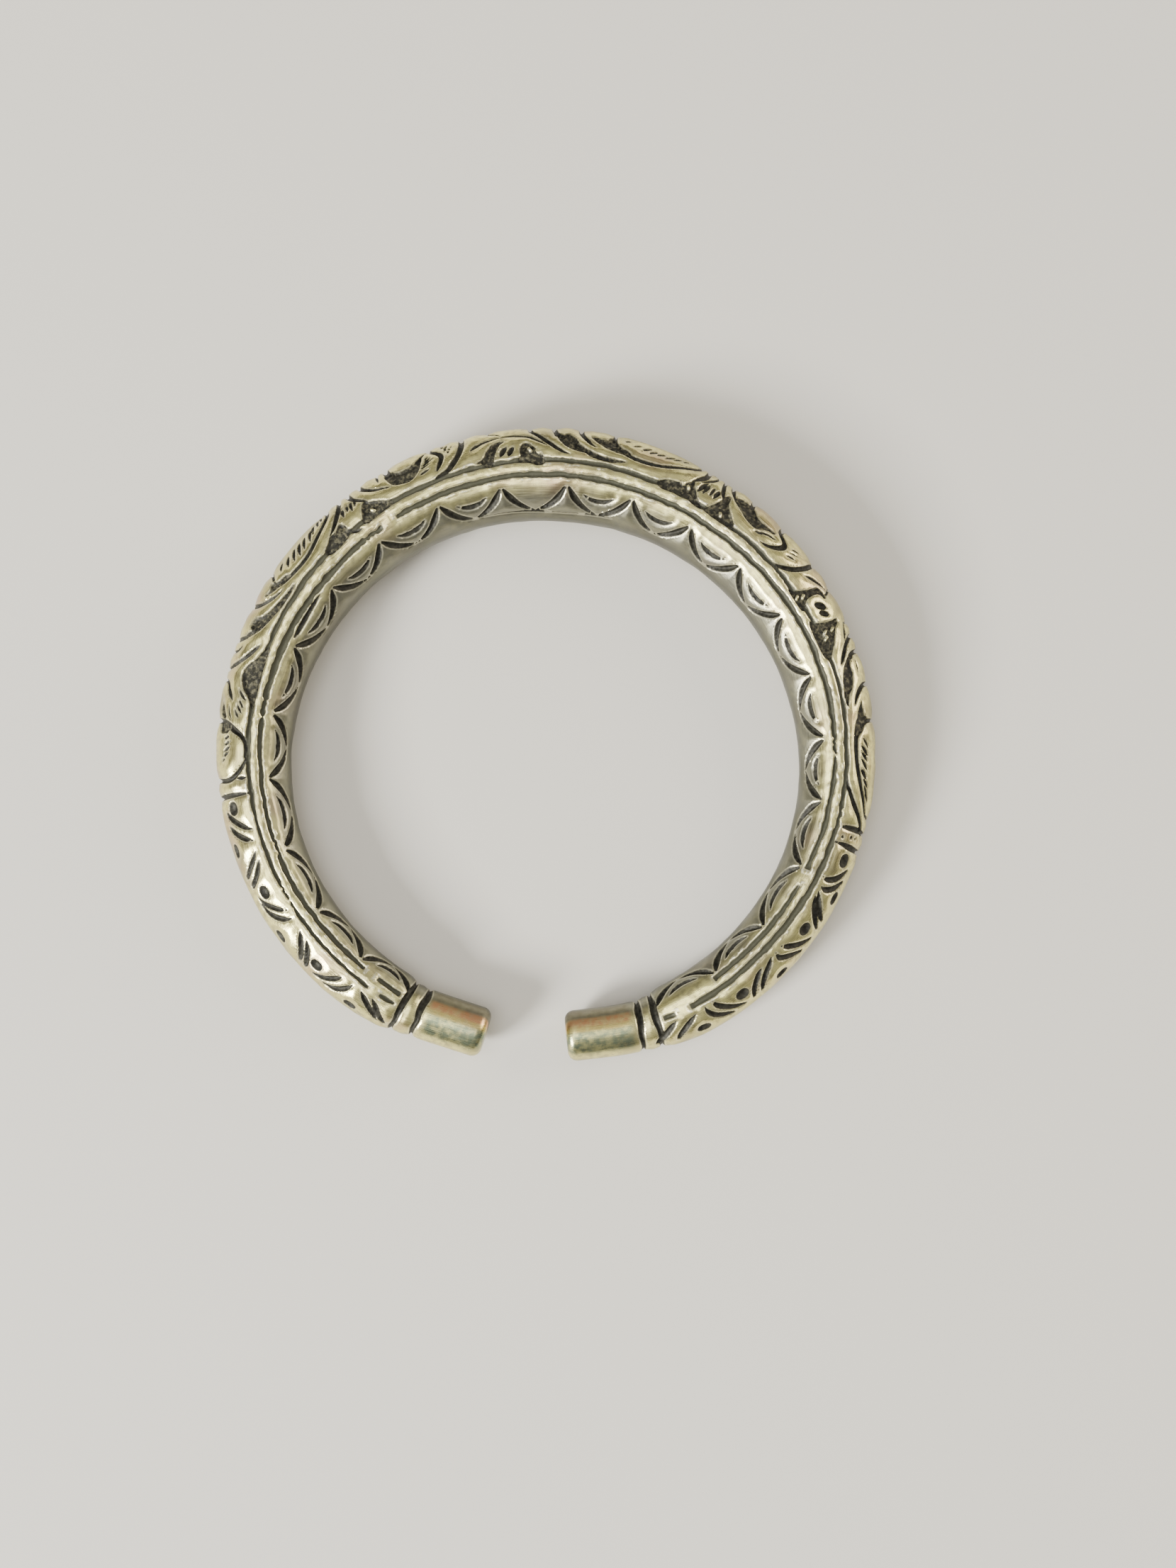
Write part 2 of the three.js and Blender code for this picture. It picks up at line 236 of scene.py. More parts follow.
vineFirst = {
    "strokes": {
        "vineLine": ((-60.6, 66, .1), (-62.2, 62, .4), (-63.6, 55, .6), (-64.8, 45, .65), (-65.5, 32, .65),
            (-65.8, 0, .6)),
        "leafArch": ((-61, 55, .3), (-59.5, 60, .6), (-57.5, 64, .62), (-55.5, 66, .62), (-53.5, 66, .62),
            (-51.5, 62.5, .6), (-49.5, 55.5, .6), (-47.7, 48.5, .6), (-46.2, 41, .65), (-45.2, 30, .6),
            (-44.9, 0, .55)),
        "leafFoot": ((-60.5, 46, .15), (-60.1, 36, .5), (-59.5, 24, .5), (-59.3, 0, .5)),
        "budLeft": ((-44.6, 80, .4), (-43.9, 87, .6), (-42.9, 91.5, .45), (-42, 93, .1)),
        "stemLeft": ((-48, 71, .1), (-46.8, 67, .35), (-45.6, 61, .6), (-44.4, 53, .7), (-43.3, 42, .7),
            (-42.5, 28, .65), (-42, 0, .6)),
        "stemRight": ((-38.2, 63, .2), (-39, 56, .5), (-39.9, 46, .6), (-40.3, 34, .65), (-40.4, 0, .6)),
        "stemEdge": ((-33.2, 64.5, .1), (-34.5, 60, .35), (-36, 54, .5), (-37.2, 44, .6), (-37.9, 32, .65),
            (-38.2, 0, .6)),
        "innerLine": ((-34.7, 44, .1), (-34.6, 36, .35), (-34.3, 20, .4), (-34.2, 0, .4)),
        "hollowTail": ((-32.5, 48, .8), (-32.5, 30, .8), (-32.6, 0, .7)),
        "hollowTip": ((-26.8, 42, .6), (-25.8, 34, .5), (-25, 27, .2)),
        "petalEdge": ((-24.1, 73, .25), (-23.6, 68, .5), (-22.9, 60, .6), (-22.5, 52, .65), (-22.8, 44, .7),
            (-23.5, 37, .7), (-24.2, 26, .6), (-24.4, 0, .6)),
        "greatCurve": ((-25.2, 84, .15), (-23.8, 81.5, .5), (-22.2, 78, .6), (-20.8, 70, .7),
            (-19.6, 60, .75), (-18.8, 48, .75), (-18.4, 33, .7), (-18.2, 0, .6)),
        "budStem": ((-17.2, 58.5, .15), (-16.3, 53.5, .55), (-15, 48.5, .55), (-13.5, 44.5, .5),
            (-11.8, 42, .3)),
        "budSide": ((-11.6, 41.5, .2), (-9.8, 41, .45), (-8.2, 43, .5), (-6.6, 46, .5), (-5.2, 53, .4),
            (-4.2, 58, .3), (-3.2, 63, .1)),
        "budFoot": ((-11.3, 38, .1), (-12, 33, .3), (-13.2, 28, .45), (-13.6, 18, .4), (-13.6, 0, .4)),
        "vineEdge": ((1.4, 76, .1), (0, 73, .4), (-1.6, 66, .55), (-2.9, 58, .6), (-4, 50, .6),
            (-5, 41, .6), (-6, 30, .55), (-6.2, 0, .5)),
        "vineTail": ((-1.3, 44, .7), (-1.8, 28, .65), (-2.2, 0, .6)),
    },
    "ground": {
        "leafHollow": ((-63.4, 43), (-62.4, 50), (-60.6, 57), (-58.2, 62.5), (-58, 55.5), (-59.6, 50.5),
            (-60.4, 46), (-61, 38.5), (-62, 43.5), (-63, 39)),
        "leftCorner": ((-50.6, 83), (-50, 90.5), (-48.3, 92.5), (-45.5, 90), (-44.4, 84), (-44.4, 73),
            (-44.9, 65.5), (-46.3, 71), (-47.9, 71.5), (-49.2, 77)),
        "rightCorner": ((-41.2, 88), (-40.2, 92), (-38.5, 91), (-36, 90), (-34.4, 88), (-34.2, 84),
            (-35.3, 79), (-36.6, 72), (-37.6, 68), (-38.9, 62), (-39.6, 66), (-40.4, 76)),
        "petalHollow": ((-33.2, 40), (-33, 56), (-32.4, 65), (-31, 69), (-29.5, 70.5), (-28, 66), (-27, 58),
            (-26.4, 48), (-26, 40), (-27.4, 43.5), (-28.9, 46), (-30.4, 46), (-31.4, 41), (-31.9, 36)),
        "budCorner": ((-16.7, 80), (-15.6, 81), (-14.8, 88), (-13.8, 88), (-13.2, 77), (-12.6, 67),
            (-11.8, 57), (-10.9, 52), (-11.6, 50), (-12.6, 52), (-13.6, 57.5), (-14.4, 66), (-15.2, 75)),
        "vineCorner": ((-8.8, 84), (-8, 88), (-6.5, 88.5), (-5, 92), (-3.7, 90.5), (-3.4, 85), (-4.3, 75),
            (-5.2, 68), (-6, 62), (-7, 57), (-7.9, 62), (-8.2, 72), (-8, 78)),
    },
    "veins": ((-58, 40, -56.4, 24, .5), (-56.7, 49, -55, 29, .48), (-55.3, 52, -53.2, 25, .48),
        (-53.8, 53.5, -51.9, 26, .48), (-52.4, 52, -50.6, 27, .48), (-50.7, 50, -48.9, 25, .48),
        (-49.3, 43, -48, 18, .45), (-47.9, 38, -46.9, 12, .44), (-46.8, 33, -46, 5, .4),
        (-43.4, 62, -42.7, 45, .45), (-42.2, 58, -41.6, 45, .4), (-41.4, 62, -40.9, 45, .4),
        (-40.5, 58, -40.2, 48, .36), (-27.3, 69.5, -25.2, 65, .34), (-26.6, 61, -25, 57, .32),
        (-26.3, 56, -24.2, 49.5, .34), (-25.7, 51, -24.4, 45.5, .32), (-25.5, 46, -24.7, 41, .3),
        (-21.3, 50, -20.2, 34, .32), (-21.8, 44, -20.9, 24, .34), (-22, 36, -21.7, 12, .36),
        (-12, 77, -10.6, 62, .62), (-10.4, 77, -9.2, 62, .6)),
}
vineSecond = {
    "strokes": {
        "vineLine": ((6.2, 60, .1), (5.2, 57, .4), (4.2, 49, .6), (3.4, 40, .65), (3, 28, .65),
            (2.9, 0, .6)),
        "leafArch": ((11, 61, .4), (12.6, 63, .55), (14.5, 65, .58), (16.4, 64.5, .58), (18.2, 62, .55),
            (20, 56.5, .55), (21.6, 49.5, .55), (23, 42.5, .6), (24.2, 35, .6), (24.9, 24, .55),
            (25.2, 0, .5)),
        "leafFoot": ((9.6, 44, .3), (9.1, 30, .5), (9.2, 0, .5)),
        "stemLeft": ((24.8, 62, .2), (25.6, 54, .6), (26.3, 45, .75), (26.6, 35, .7), (26.5, 0, .55)),
        "stemInner": ((26.4, 56, .1), (27.3, 48, .4), (28, 40, .45), (28.4, 30, .4), (28.6, 0, .35)),
        "stemRight": ((31.2, 60, .3), (30.6, 52, .55), (30.2, 42, .55), (29.9, 30, .5), (29.8, 0, .5)),
        "leftTail": ((32.9, 48, .3), (32.1, 38, .6), (31.6, 24, .6), (31.4, 0, .55)),
        "rightTail": ((36.4, 40, .6), (36, 26, .65), (35.9, 0, .6)),
        "petalEdge": ((41.5, 76, .1), (42.6, 74, .35), (43.8, 69, .55), (44.7, 62, .65), (45.2, 54, .75),
            (45, 47, .75), (44, 42, .7), (43, 36, .7), (42.7, 24, .7), (42.6, 0, .65)),
        "greatCurve": ((46.3, 85, .2), (47.6, 80, .5), (48.9, 72, .65), (49.8, 63, .7), (50.4, 52, .7),
            (50.7, 38, .65), (50.8, 0, .6)),
        "budStem": ((51.7, 56, .2), (52.6, 49, .55), (53.6, 42, .6), (54.6, 36, .5), (55.4, 32, .2)),
        "budFoot": ((56.6, 42, .3), (56.2, 32, .4), (55.8, 20, .4), (55.7, 0, .4)),
        "spur": ((65.2, 46, .1), (64.3, 41, .4), (63.2, 35, .4), (62.2, 28, .3), (61.8, 0, .3)),
        "vineEdge": ((69.5, 69, .1), (68.7, 64, .45), (67.3, 55, .6), (66, 46, .6), (65.2, 36, .65),
            (64.6, 24, .6), (64.3, 0, .6)),
        "vineTail": ((68.2, 46, .6), (67.6, 34, .6), (67.2, 0, .6)),
        "hollowMark": ((69.2, 35, .15), (70.3, 35.5, .4), (71.3, 37.5, .15)),
        "nextLine": ((77.3, 61, .1), (76.2, 57, .4), (75, 50, .6), (74.1, 41, .65), (73.4, 28, .6),
            (73.2, 0, .55)),
    },
    "ground": {
        "vineHollow": ((12, 73), (10.5, 76.5), (8.8, 78.5), (7, 78), (5.2, 75.5), (4.4, 71.5), (3, 70.5),
            (1, 66), (-.4, 58), (-1.2, 48), (-1.6, 40), (-.9, 39.5), (0, 42), (.6, 37.5), (1.4, 42),
            (2, 46), (2.8, 56), (4, 63), (5.4, 68), (7, 71.5), (9, 73)),
        "leafHollow": ((4.9, 38), (5.4, 46), (6.8, 54), (8.6, 59.5), (10.6, 62), (12.3, 63), (12.4, 57),
            (11.4, 53), (10.3, 49.5), (9.6, 42), (9, 33), (8.2, 34), (7.9, 38.5), (6.6, 41), (5.6, 37.5)),
        "leftCorner": ((19, 85), (19.8, 91), (22, 90.5), (25, 89), (26.5, 91), (28, 92.5), (29.1, 91),
            (28.4, 87), (27.2, 82), (26.4, 75), (25.6, 68), (25.1, 61.5), (24.4, 66), (23.2, 72),
            (21.6, 75), (20.2, 78)),
        "rightCorner": ((29.3, 89), (30, 92), (33, 91.5), (36, 92), (36.2, 89), (35.6, 83), (34.4, 76),
            (33.2, 68), (32.6, 62), (32.4, 55), (32, 49), (31.4, 56), (31.2, 64), (30.8, 72), (30.2, 80)),
        "petalHollow": ((32.4, 44), (33.2, 51), (34.8, 57.5), (36.5, 63.5), (38.2, 66.5), (39.4, 65),
            (40.2, 60), (41, 54), (42.3, 49.5), (42.2, 46), (40.8, 48), (39, 49.5), (37.9, 47), (37.2, 41),
            (36.4, 36), (35.2, 35), (33.6, 37), (33, 43)),
        "budCorner": ((52.1, 89), (53, 85), (53.6, 76), (54.2, 66), (54.4, 57), (54.6, 48), (55.4, 43),
            (56.6, 41.5), (57, 45), (56, 50), (55.5, 58), (55.5, 70), (55.8, 77), (56.9, 84), (57.2, 89),
            (56, 91), (53, 91)),
        "vineCorner": ((59.6, 87.5), (60.2, 85), (60.6, 78), (61, 66), (61.1, 52), (61, 43), (61.6, 42),
            (62.4, 52), (63.8, 60), (65.4, 68), (66.8, 76), (67.8, 81), (67.2, 88), (65, 91), (61, 91)),
        "nextHollow": ((77.2, 72.5), (75.5, 75), (74, 74), (72, 70.5), (70.4, 65), (69, 57), (68, 47),
            (67.7, 40), (68.4, 40), (69, 48), (70.2, 52), (71, 50), (72.6, 54), (74, 59), (74.8, 65),
            (75.8, 69)),
    },
    "veins": ((12.6, 41, 14, 32, .45), (14.2, 46, 15.8, 31, .47), (15.6, 46, 16.9, 36, .45),
        (17, 44.5, 18.4, 34, .45), (18.6, 44, 20.2, 31, .45), (20.2, 39, 21.6, 25, .42),
        (21.7, 33, 22.9, 16, .4), (10.9, 36, 12, 24, .42), (26.6, 73, 27.5, 51, .52),
        (27.6, 71, 28.1, 50, .46), (28.9, 69, 29, 52, .44), (29.8, 70, 30.1, 51, .52),
        (39.5, 70, 41, 66.5, .32), (40.2, 66, 41.8, 60, .34), (41.2, 61, 43.4, 55.5, .34),
        (46.8, 59, 48.3, 53, .34), (46.8, 51, 48.2, 44, .34), (46.5, 42.5, 47.8, 35, .32),
        (57.2, 70, 58.6, 52, .85), (58.9, 69, 60, 53, .7)),
}
vineLast = {
    "strokes": {
        "leafArch": ((80, 60, .4), (82, 63, .6), (84.5, 65, .6), (86.5, 64.5, .6), (88.5, 62, .6),
            (90.5, 57.5, .6), (92.3, 51.5, .6), (94, 44, .6), (95.6, 37, .55), (96.8, 28, .5),
            (97.3, 0, .45)),
        "leafFoot": ((80.6, 46, .3), (80, 34, .5), (79.8, 20, .5), (79.8, 0, .5)),
        "lastStroke": ((90.2, 79, .1), (91.2, 79, .3), (92.4, 76, .5), (94, 69, .6), (95.6, 61, .65),
            (97.2, 50, .65), (98.6, 41, .6), (100.2, 33, .45), (100.9, 29, .1)),
    },
    "ground": {
        "leafHollow": ((76.4, 44), (77.8, 53), (79.4, 58.5), (81.6, 62.5), (83.2, 63), (82.6, 57),
            (81.6, 49), (80.7, 43), (80.2, 34), (79.5, 34), (79, 42), (78, 43), (77.2, 45)),
    },
    "veins": ((83.1, 50, 84.9, 38, .45), (84.4, 55, 86.2, 40, .5), (85.8, 55, 87.4, 41, .48),
        (86.9, 55, 88.9, 40, .48), (88.8, 56, 90.4, 42, .58), (90.4, 50.5, 91.9, 37, .46),
        (91.7, 46, 93.2, 36, .42), (92.9, 42, 94.5, 31, .42)),
}
# The lower side repeats the second leaf, half a length along; its strokes meet the upper ones at the
# outer side.
lowerVine = {
    "shifts": (-175, -105, -35, 35),
    "onlyUpper": ("vineLine", "vineHollow"),  # these come again as the next leaf's
    "panel": (-86, 98),
    "meeting": 3.0,  # degrees within which two strokes join
    "bend": 40.0,  # they bend towards each other over this many degrees around
}


# Bright flakes that the gouge left on the ground: their places, and half their reach in degrees
flakes = {
    "places": ((-38.3, 80), (-6.3, 69), (-4.8, 72), (23.4, 70), (24.7, 73), (32.6, 83), (54.4, 86),
        (54.8, 77), (62.7, 73), (63.8, 75), (62.6, 59)),
    "reach": (.2, 2.2),
    "width": .27,
    "slope": (-.12, .06),  # mm inside its edge where a flake starts and is full
}
veinShape = {"tips": (.15, .1), "body": ((.25, .3), (.65, .7))}  # widths, and shares along and around


def vein(a, b, c, d, width):
    across, down = c - a, d - b
    first, last = veinShape["tips"]
    body = [(a + x * across, b + y * down, width) for x, y in veinShape["body"]]
    return [(a, b, first), *body, (c, d, last)]


def upperVineCuts():
    for stretch in (vineStart, vineFirst, vineSecond, vineLast):
        for rows in stretch["strokes"].values():
            yield "stroke", rows
        for rows in stretch["ground"].values():
            yield "ground", rows
        for row in stretch["veins"]:
            yield "stroke", vein(*row)


def lowerVineCuts(feet):  # feet are the angles where upper strokes reach the outer side
    first, last = lowerVine["panel"]
    kinds = (("stroke", "strokes"), ("ground", "ground"))
    repeat = [(kind, rows) for kind, group in kinds for name, rows in vineSecond[group].items()
              if name not in lowerVine["onlyUpper"]]
    repeat += [("stroke", vein(*row)) for row in vineSecond["veins"]]
    for shift in lowerVine["shifts"]:
        for kind, rows in repeat:
            moved = [(row[0] + shift, -row[1]) + tuple(row[2:]) for row in rows]
            if not all(first < row[0] < last for row in moved):
                continue
            if kind == "stroke" and moved[-1][1] == 0:
                pull = min((foot - moved[-1][0] for foot in feet), key=abs)
                pull = pull if abs(pull) < lowerVine["meeting"] else 0
                moved = [(a + pull * max(0, 1 + b / lowerVine["bend"]), b, w) for a, b, w in moved]
            yield kind, moved
    for stretch, names in ((vineStart, ("leafLeft", "leafRight")), (vineLast, ("lastStroke",))):
        for name in names:
            yield "stroke", [(a, -b, w) for a, b, w in stretch["strokes"][name]]


# The slanted strokes and pits towards the ends
endPanel = {
    # the places of each stroke, from top to foot
    "strokes": (
        ((-107.2, 82), (-106.4, 70), (-105, 54), (-103.9, 42), (-103.2, 37)),
        ((-109.3, 78), (-108.6, 66), (-107.4, 52), (-106.4, 42), (-105.8, 36)),
        ((-111.3, 77), (-112.8, 66), (-114, 54), (-114.9, 42), (-115.2, 32)),
        ((-113, 77), (-114.6, 68), (-116, 57), (-116.8, 44), (-117, 34)),
        ((-124.1, 80), (-123.2, 69), (-121.9, 57), (-120.7, 47), (-119.4, 41)),
        ((-126, 80), (-125.2, 67), (-124, 55), (-122.5, 45), (-120.8, 38)),
        ((-128.7, 78), (-130, 70), (-131.4, 58), (-132.3, 46), (-132.7, 33)),
        ((-131, 77), (-132.3, 68), (-133.3, 56), (-134, 44), (-134.2, 34)),
        ((-140.7, 76), (-140, 66), (-138.8, 54), (-137.4, 43), (-136.2, 37)),
        ((-143.2, 76), (-142.7, 65), (-141.6, 52), (-140.3, 42), (-138.6, 36)),
        ((-145.1, 77), (-146.4, 69), (-147.9, 58), (-149.2, 47), (-150.1, 35)),
        ((-147.7, 76), (-148.9, 67), (-149.9, 55), (-151, 43), (-151.8, 34)),
        ((109.8, 79), (110, 70), (109.4, 58), (108.2, 46), (107, 37)),
        ((111.7, 74), (111.9, 66), (111.3, 55), (110.3, 45), (109.2, 36)),
        ((112.8, 75), (114.2, 67), (115.6, 56), (116.5, 46), (117, 33)),
        ((113.8, 76), (115.4, 69), (116.9, 58), (118, 47), (118.6, 34)),
        ((125.3, 75), (124.6, 66), (123.4, 54), (122, 42), (120.6, 31)),
        ((126.9, 75), (127.1, 63), (126, 53), (124.7, 42), (123.4, 30)),
        ((128.2, 75), (129.6, 67), (131.2, 59), (132.6, 48), (133.4, 34)),
        ((130.9, 74), (132.2, 68), (133.7, 58), (134.6, 48), (135.2, 34)),
        ((142.1, 80), (141.8, 70), (140.5, 57), (138.9, 45), (137.2, 35)),
        ((144, 78), (143.8, 66), (142.8, 53), (141.2, 42), (139.8, 32)),
        ((146.3, 75), (147.6, 67), (149.2, 57), (150.4, 46), (151, 34)),
        ((150.2, 78), (151.4, 70), (152.9, 58), (154, 47), (154.6, 38)),
    ),
    "widths": (.2, .68, .77, .74, .44),  # from top to foot
    "pits": ((-135.7, 59), (-119.1, 61), (-102.7, 56), (105.7, 54), (120, 59), (136.7, 59)),
    "lowPits": ((-144.8, 33), (-127.3, 34), (-110.1, 32), (112.5, 35), (128.7, 29), (146, 39)),
    "pitSize": (1.6, 1.3),  # mm, round the ring and round the rod
    "pitDegree": .62,  # mm to a degree of the chart there
    "dotLong": .1,  # degrees
    "dividers": (
        ((-100.2, 88, .2), (-100.2, 75, .5), (-100.2, 50, .65), (-100.3, 0, .6)),
        ((-97.3, 86, .1), (-97.3, 78, .5), (-97.3, 68, .1)),
        ((99.7, 83, .15), (99.8, 68, .6), (99.8, 50, .75), (99.9, 36, .65), (100.1, 0, .55)),
        ((102.8, 82, .15), (102.9, 68, .55), (103.1, 50, .75), (103.2, 34, .65), (103.2, 0, .6)),
    ),
    "dots": ((101.5, 71, .42), (101.2, 54.5, .5), (101.3, 46, .34)),
}


def endPanelCuts():
    for places in endPanel["strokes"]:
        yield [(a, b, width) for (a, b), width in zip(places, endPanel["widths"])]
    yield from endPanel["dividers"]
    wide, tall = endPanel["pitSize"]
    reach = (wide - tall) / 2 / endPanel["pitDegree"]  # from a pit's middle to its round ends
    for angle, around in endPanel["pits"] + endPanel["lowPits"]:
        yield [(angle - reach, around, tall), (angle + reach, around, tall)]
    for angle, around, width in endPanel["dots"]:
        yield [(angle, around, width), (angle + endPanel["dotLong"], around, width)]


# The two border grooves with the bead between them, and the ring grooves of the collars
border = {
    "grooves": (
        {
            "angles": (-152, -140, -120, -100, -85, -70, -50, -25, 0, 15, 33, 50, 70, 85, 100, 115, 130,
                152),
            "around": (86.5, 90, 91, 89.8, 89.3, 87.8, 86.2, 86.6, 85.3, 86.8, 89, 85.8, 81.6, 82, 84, 87.2,
                90.3, 89.7),
            "half": (.29, .27, .26, .35, .36, .39, .38, .37, .38, .38, .37, .35, .35, .34, .34, .4, .43,
                .35),
            "runs": ((-152, -148.3), (-146, 146.5), (149.5, 152.3)),
            "rough": ((-125, -118), (18, 24), (96, 101)),  # stretches where the tool chattered
        },
        {
            "angles": (-152, -146, -134, -120, -104, -90, -75, -50, -25, -10, 10, 30, 50, 75, 85, 100, 118,
                134, 140),
            "around": (108.3, 112, 113.3, 110, 109.3, 107.8, 107, 107.8, 106, 103.4, 105, 106.2, 102.3,
                98.8, 100, 103.6, 109, 112.5, 110.5),
            "half": (.35, .32, .37, .4, .28, .34, .46, .4, .39, .39, .39, .39, .4, .41, .29, .37, .37, .39,
                .41),
            "runs": ((-152.2, -146.1), (-143, -38.5), (-35.4, 110), (113.2, 139.5)),
            "rough": ((-114, -109.5), (-86, -81), (-46, -38), (82, 87)),
        },
    ),
    "falseStart": ((-67.7, 117, .3), (-66, 118, .62), (-62, 117.5, .55), (-59, 116.2, .4),
        (-57.4, 115, .1)),
    "bead": 95,  # where the bead between them is charted at the back
    "depth": .36,
    "hairline": .05,  # no half width counts as less
    "runOut": .6,  # slope of a groove's ends
    "seed": 50,
    # unevenness: how much of it, over how many mm, its width, and what is added
    "wander": (.6, 2.4),  # of the middle, in degrees
    "swell": (.04, 3.5),  # of the width
    "ragged": (.105, .9),  # of each edge
    "fineRagged": (.0525, .4),
    "edgeApart": 2.3,  # so that the two edges of a groove differ
    "chatter": (.24, .33, 1, .25),
    "chatterFade": .8,  # degrees
    "burr": (.1, .5, 1, .2),  # that the tool raised beside the groove
    "burrAt": (-.13, .12),  # mm inside the rim, and how wide
    "collars": {-1: (153.4, 157), 1: (153.5, 156.9)},  # chart angles on the two sides
    "collarLean": {-1: .3, 1: .45},  # degrees that they lean
    "collarAround": (-140, -90, 35, 60, 90, 120, 145, 180),
    "collarWidth": (.7, .6, .58, .66, .9, 1.0, .8, .6),
    "collarRows": (-170, 211, 20),
    # unevenness of the collars: its seed, how much, and over how many degrees around
    "collarSway": (41, .2, 25),
    "collarSwell": (43, .15, 20),
}
# The scallops on the inner flank
scallop = {
    "tips": (-153.4, -141, -127.4, -112.7, -97.6, -84, -69.6, -54.9, -41, -26.6, -12.8, 1.3, 15.3, 28.9,
        42.3, 55.8, 69.5, 82.7, 95.6, 109.6, 124.4, 138.3, 152.7),
    "at": (-150, -110, -55, -27, 0, 42, 76, 95, 115, 150),
    "tipAround": (125.5, 123.5, 125, 121, 118.5, 122, 117, 118.5, 121, 121.5),
    "footAround": (163.5, 162.5, 157, 156, 153.5, 159.5, 154, 157.5, 161, 162),
    "shares": (0, .25, .5, .75, 1),
    "widths": (.35, .78, .76, .66, .3),
    # share of half a scallop, degrees above the tip, width
    "lunette": ((-.47, 8, .15), (-.24, 13, .58), (0, 14.5, .66), (.26, 12.5, .58), (.49, 6.5, .15)),
    "lunetteAt": (70, 120),  # angles between which the lunettes come to lie further in
    "lunetteRise": (1, 1.3),
    "bare": -6,  # the scallop at this angle holds none
    "bow": (.65, .35),  # shares of a round and a straight side
    "tipGap": .35,  # degrees left between two scallops and their tip
    "innerLine": ((-18, 156, .1), (-8, 157.5, .26), (2, 158.5, .26), (12, 157, .1)),
}


def scallopCuts():
    bow, rest = scallop["bow"]
    gap = scallop["tipGap"]
    for a, b in zip(scallop["tips"], scallop["tips"][1:]):
        middle, half = (a + b) / 2, (b - a) / 2
        foot = np.interp(middle, scallop["at"], scallop["footAround"])
        for side, edge in ((-1, a), (1, b)):
            tip = np.interp(edge, scallop["at"], scallop["tipAround"])
            rows = []
            for share, width in zip(scallop["shares"], scallop["widths"]):
                turn = math.radians(90 * share)
                across = bow * share + rest * (1 - math.cos(turn))
                down = bow * math.sin(turn) + rest * share
                angle = middle + side * (half - gap - (half - 2 * gap) * across)
                rows.append((angle, tip + (foot - tip) * down, width))
            yield rows
        if not a < scallop["bare"] < b:
            tip = np.interp(middle, scallop["at"], scallop["tipAround"])
            rise = np.interp(abs(middle), scallop["lunetteAt"], scallop["lunetteRise"])
            yield [(middle + x * half, tip + y * rise, w) for x, y, w in scallop["lunette"]]
    yield scallop["innerLine"]
    yield border["falseStart"]


def collarCuts():
    around = np.arange(*border["collarRows"])
    for side, angles in border["collars"].items():
        for angle in angles:
            here = np.full(len(around), side * angle)
            lean = border["collarLean"][side] * np.cos(np.radians(around))
            sway = lumpy(around, here, *border["collarSway"]) + lean
            width = np.interp(around, border["collarAround"], border["collarWidth"])
            width = width * (1 + lumpy(around, here, *border["collarSwell"]))
            yield [(side * angle + s, r, w) for r, s, w in zip(around, sway, width)]


# The chart was read from above, where a cut shows higher up the rod than its rims lie
sight = {
    "around": (0, 20, 45, 60, 75, 88, 100),
    "lower": (0, 4.2, 6, 4.2, 3, 1.5, 0),  # degrees
    "angles": (92, 106),  # angles between which this comes in, as the rod grows thin
    "share": (-.2, 1),  # of those degrees
}


def toRims(rows):
    moved = []
    for angle, around, *width in rows:
        lower = np.interp(abs(around), sight["around"], sight["lower"])
        lower *= np.interp(abs(angle), sight["angles"], sight["share"])
        moved.append((angle, around - np.sign(around) * lower, *width))
    return moved


# How the gouge cuts
cut = {
    "depthShare": .62,  # depth of a stroke for its width
    "deepest": .42,
    "groundDepth": .44,
    "groundWall": .2,
    "groundGrow": .1,  # the ground is cut this much past its chart
    "roll": .17,  # worn rounding beside a cut
    "rollReach": .65,
    "thin": .17,  # half width under which a stroke is one valley
    "boldness": 1.15,  # strokes are this much wider than their chart
    "handSeed": 11,
    "hand": (.04, .25),  # the carver's unevenness in degrees, along and around
    "handWidth": (.95, 1.05),
    "steady": 20,  # it fades this many degrees from the outer side, where strokes meet
    "margin": .9,  # mm round a cut that are worked out
    "leastMm": (.5, .05),  # a degree of the chart is at least this long
    "hairline": .03,  # no stroke's half width counts as less
    "lip": -.02,  # mm inside its rim where the ground's wall starts
    "snap": .46,  # share of a cell that a vertex moves to a rim
}
tiny = 1e-6  # mm, keeps divisions from zero


def handCut(rows, hand):
    along, around = hand.normal(0, cut["hand"])
    return [(a + along, b + around * min(1, abs(b) / cut["steady"]),
             w * hand.uniform(*cut["handWidth"]) * cut["boldness"]) for a, b, w in rows]


def allCuts():  # every cut, as (kind, rows)
    hand = np.random.default_rng(cut["handSeed"])
    upper = list(upperVineCuts())
    feet = [rows[-1][0] for kind, rows in upper if kind == "stroke" and rows[-1][1] == 0]
    cuts = [(kind, handCut(toRims(rows), hand) if kind == "stroke" else toRims(rows))
            for kind, rows in upper + list(lowerVineCuts(feet))]
    for rows in [toRims(rows) for rows in endPanelCuts()] + list(scallopCuts()):
        cuts.append(("stroke", handCut(rows, hand)))
        cuts.append(("stroke", handCut([(a, -b, w) for a, b, w in rows], hand)))
    cuts += [("stroke", rows) for rows in collarCuts()]
    print("carving chart:", len(cuts), "cuts")
    return cuts


